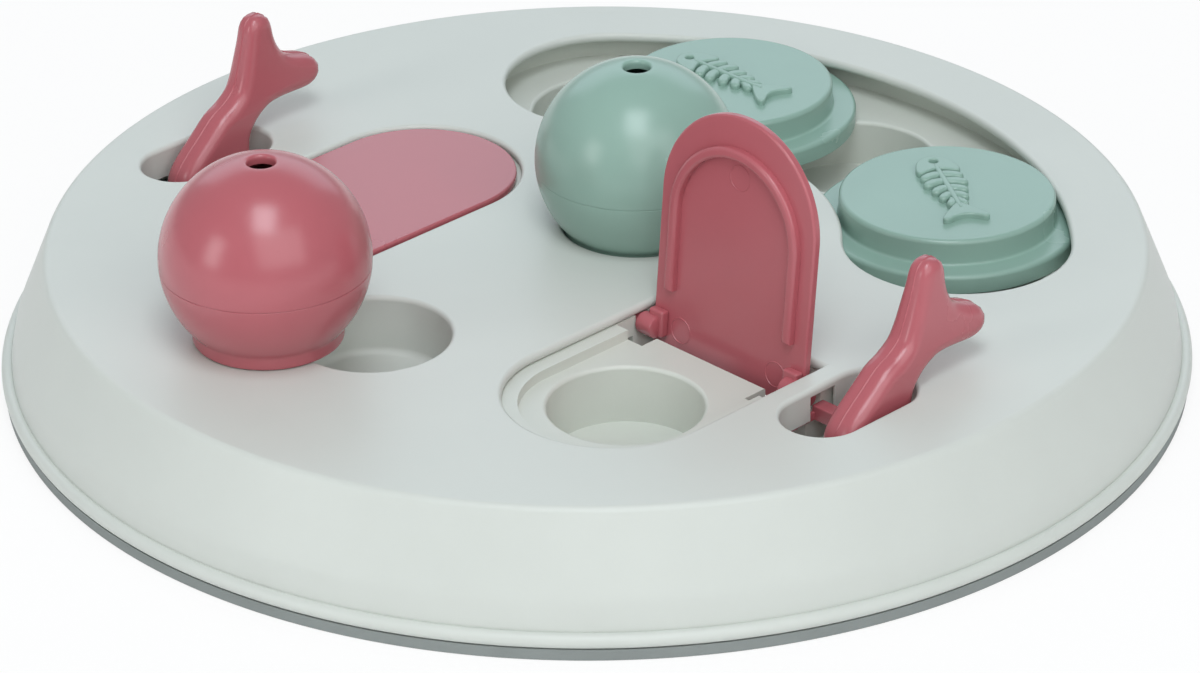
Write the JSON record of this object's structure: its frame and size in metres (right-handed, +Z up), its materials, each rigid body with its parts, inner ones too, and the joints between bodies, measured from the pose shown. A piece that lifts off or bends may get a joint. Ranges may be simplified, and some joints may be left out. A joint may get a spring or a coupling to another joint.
{
  "type": "cat puzzle feeder",
  "caption": "Round treat puzzle board for cats with press-lever lids, sliding covers over an arc track and lift-off hollow balls over pits.",
  "frame": {"origin": "middle of the round board on the surface it stands on", "axes": "+Z up out of the board, +X towards the side of the open lid and its lever, +Y along that lever's slot"},
  "size_m": [0.231, 0.231, 0.0692],
  "materials": {
    "cover": "satin",
    "tray": "satin",
    "foot": "matt",
    "rose_plastic": "satin gloss",
    "sage_plastic": "satin gloss",
    "steel": "bright zinc"
  },
  "bodies": {
    "board": {"top_cover": "cover", "anti_slip_ring": "foot", "channel_tray": "tray", "lid_tray_left": "tray", "lid_tray_right": "tray", "tray_screws": "steel", "lever_axle_left": "steel", "lever_axle_right": "steel"},
    "left_lid": {"lid_left": "rose_plastic"},
    "right_lid": {"lid_right": "rose_plastic"},
    "left_lever": {"lever_left": "rose_plastic"},
    "right_lever": {"lever_right": "rose_plastic"},
    "left_slider": {"slider_left": "sage_plastic"},
    "right_slider": {"slider_right": "sage_plastic"},
    "rose_ball": {"rose_ball_dome": "rose_plastic", "rose_ball_cup": "rose_plastic"},
    "green_ball": {"green_ball_dome": "sage_plastic", "green_ball_cup": "sage_plastic"}
  },
  "joints": [
    {"name": "lever_left_press", "type": "hinge", "parent": "board", "child": "left_lever", "pos_m": [-0.0825, -0.0217, 0.018], "axis": [-1, 0, 0], "range_deg": [0, 9.4]},
    {"name": "lid_left_open", "type": "hinge", "parent": "board", "child": "left_lid", "pos_m": [-0.0443, -0.0334, 0.0223], "axis": [1, 0, 0], "range_deg": [0, 95.2]},
    {"name": "lever_right_press", "type": "hinge", "parent": "board", "child": "right_lever", "pos_m": [0.0829, -0.0074, 0.018], "axis": [-1, 0, 0], "range_deg": [-3.4, 6]},
    {"name": "lid_right_open", "type": "hinge", "parent": "board", "child": "right_lid", "pos_m": [0.0478, -0.01456, 0.0223], "axis": [-1, 0, 0], "range_deg": [-95.2, 0]},
    {"name": "slider_left_turn", "type": "hinge", "parent": "board", "child": "left_slider", "pos_m": [0, 0, 0.023], "axis": [0, 0, 1], "range_deg": [-12.4, 20]},
    {"name": "slider_right_turn", "type": "hinge", "parent": "board", "child": "right_slider", "pos_m": [0, 0, 0.023], "axis": [0, 0, 1], "range_deg": [-13.2, 12.4]},
    {"name": "rose_ball_lift", "type": "slide", "parent": "board", "child": "rose_ball", "axis": [0, 0, 1], "range_m": [0, 0.04]},
    {"name": "green_ball_lift", "type": "slide", "parent": "board", "child": "green_ball", "axis": [0, 0, 1], "range_m": [0, 0.04]}
  ],
  "couplings": [
    {"joint": "lid_left_open", "follows": "lever_left_press", "ratio": 10.12}
  ]
}
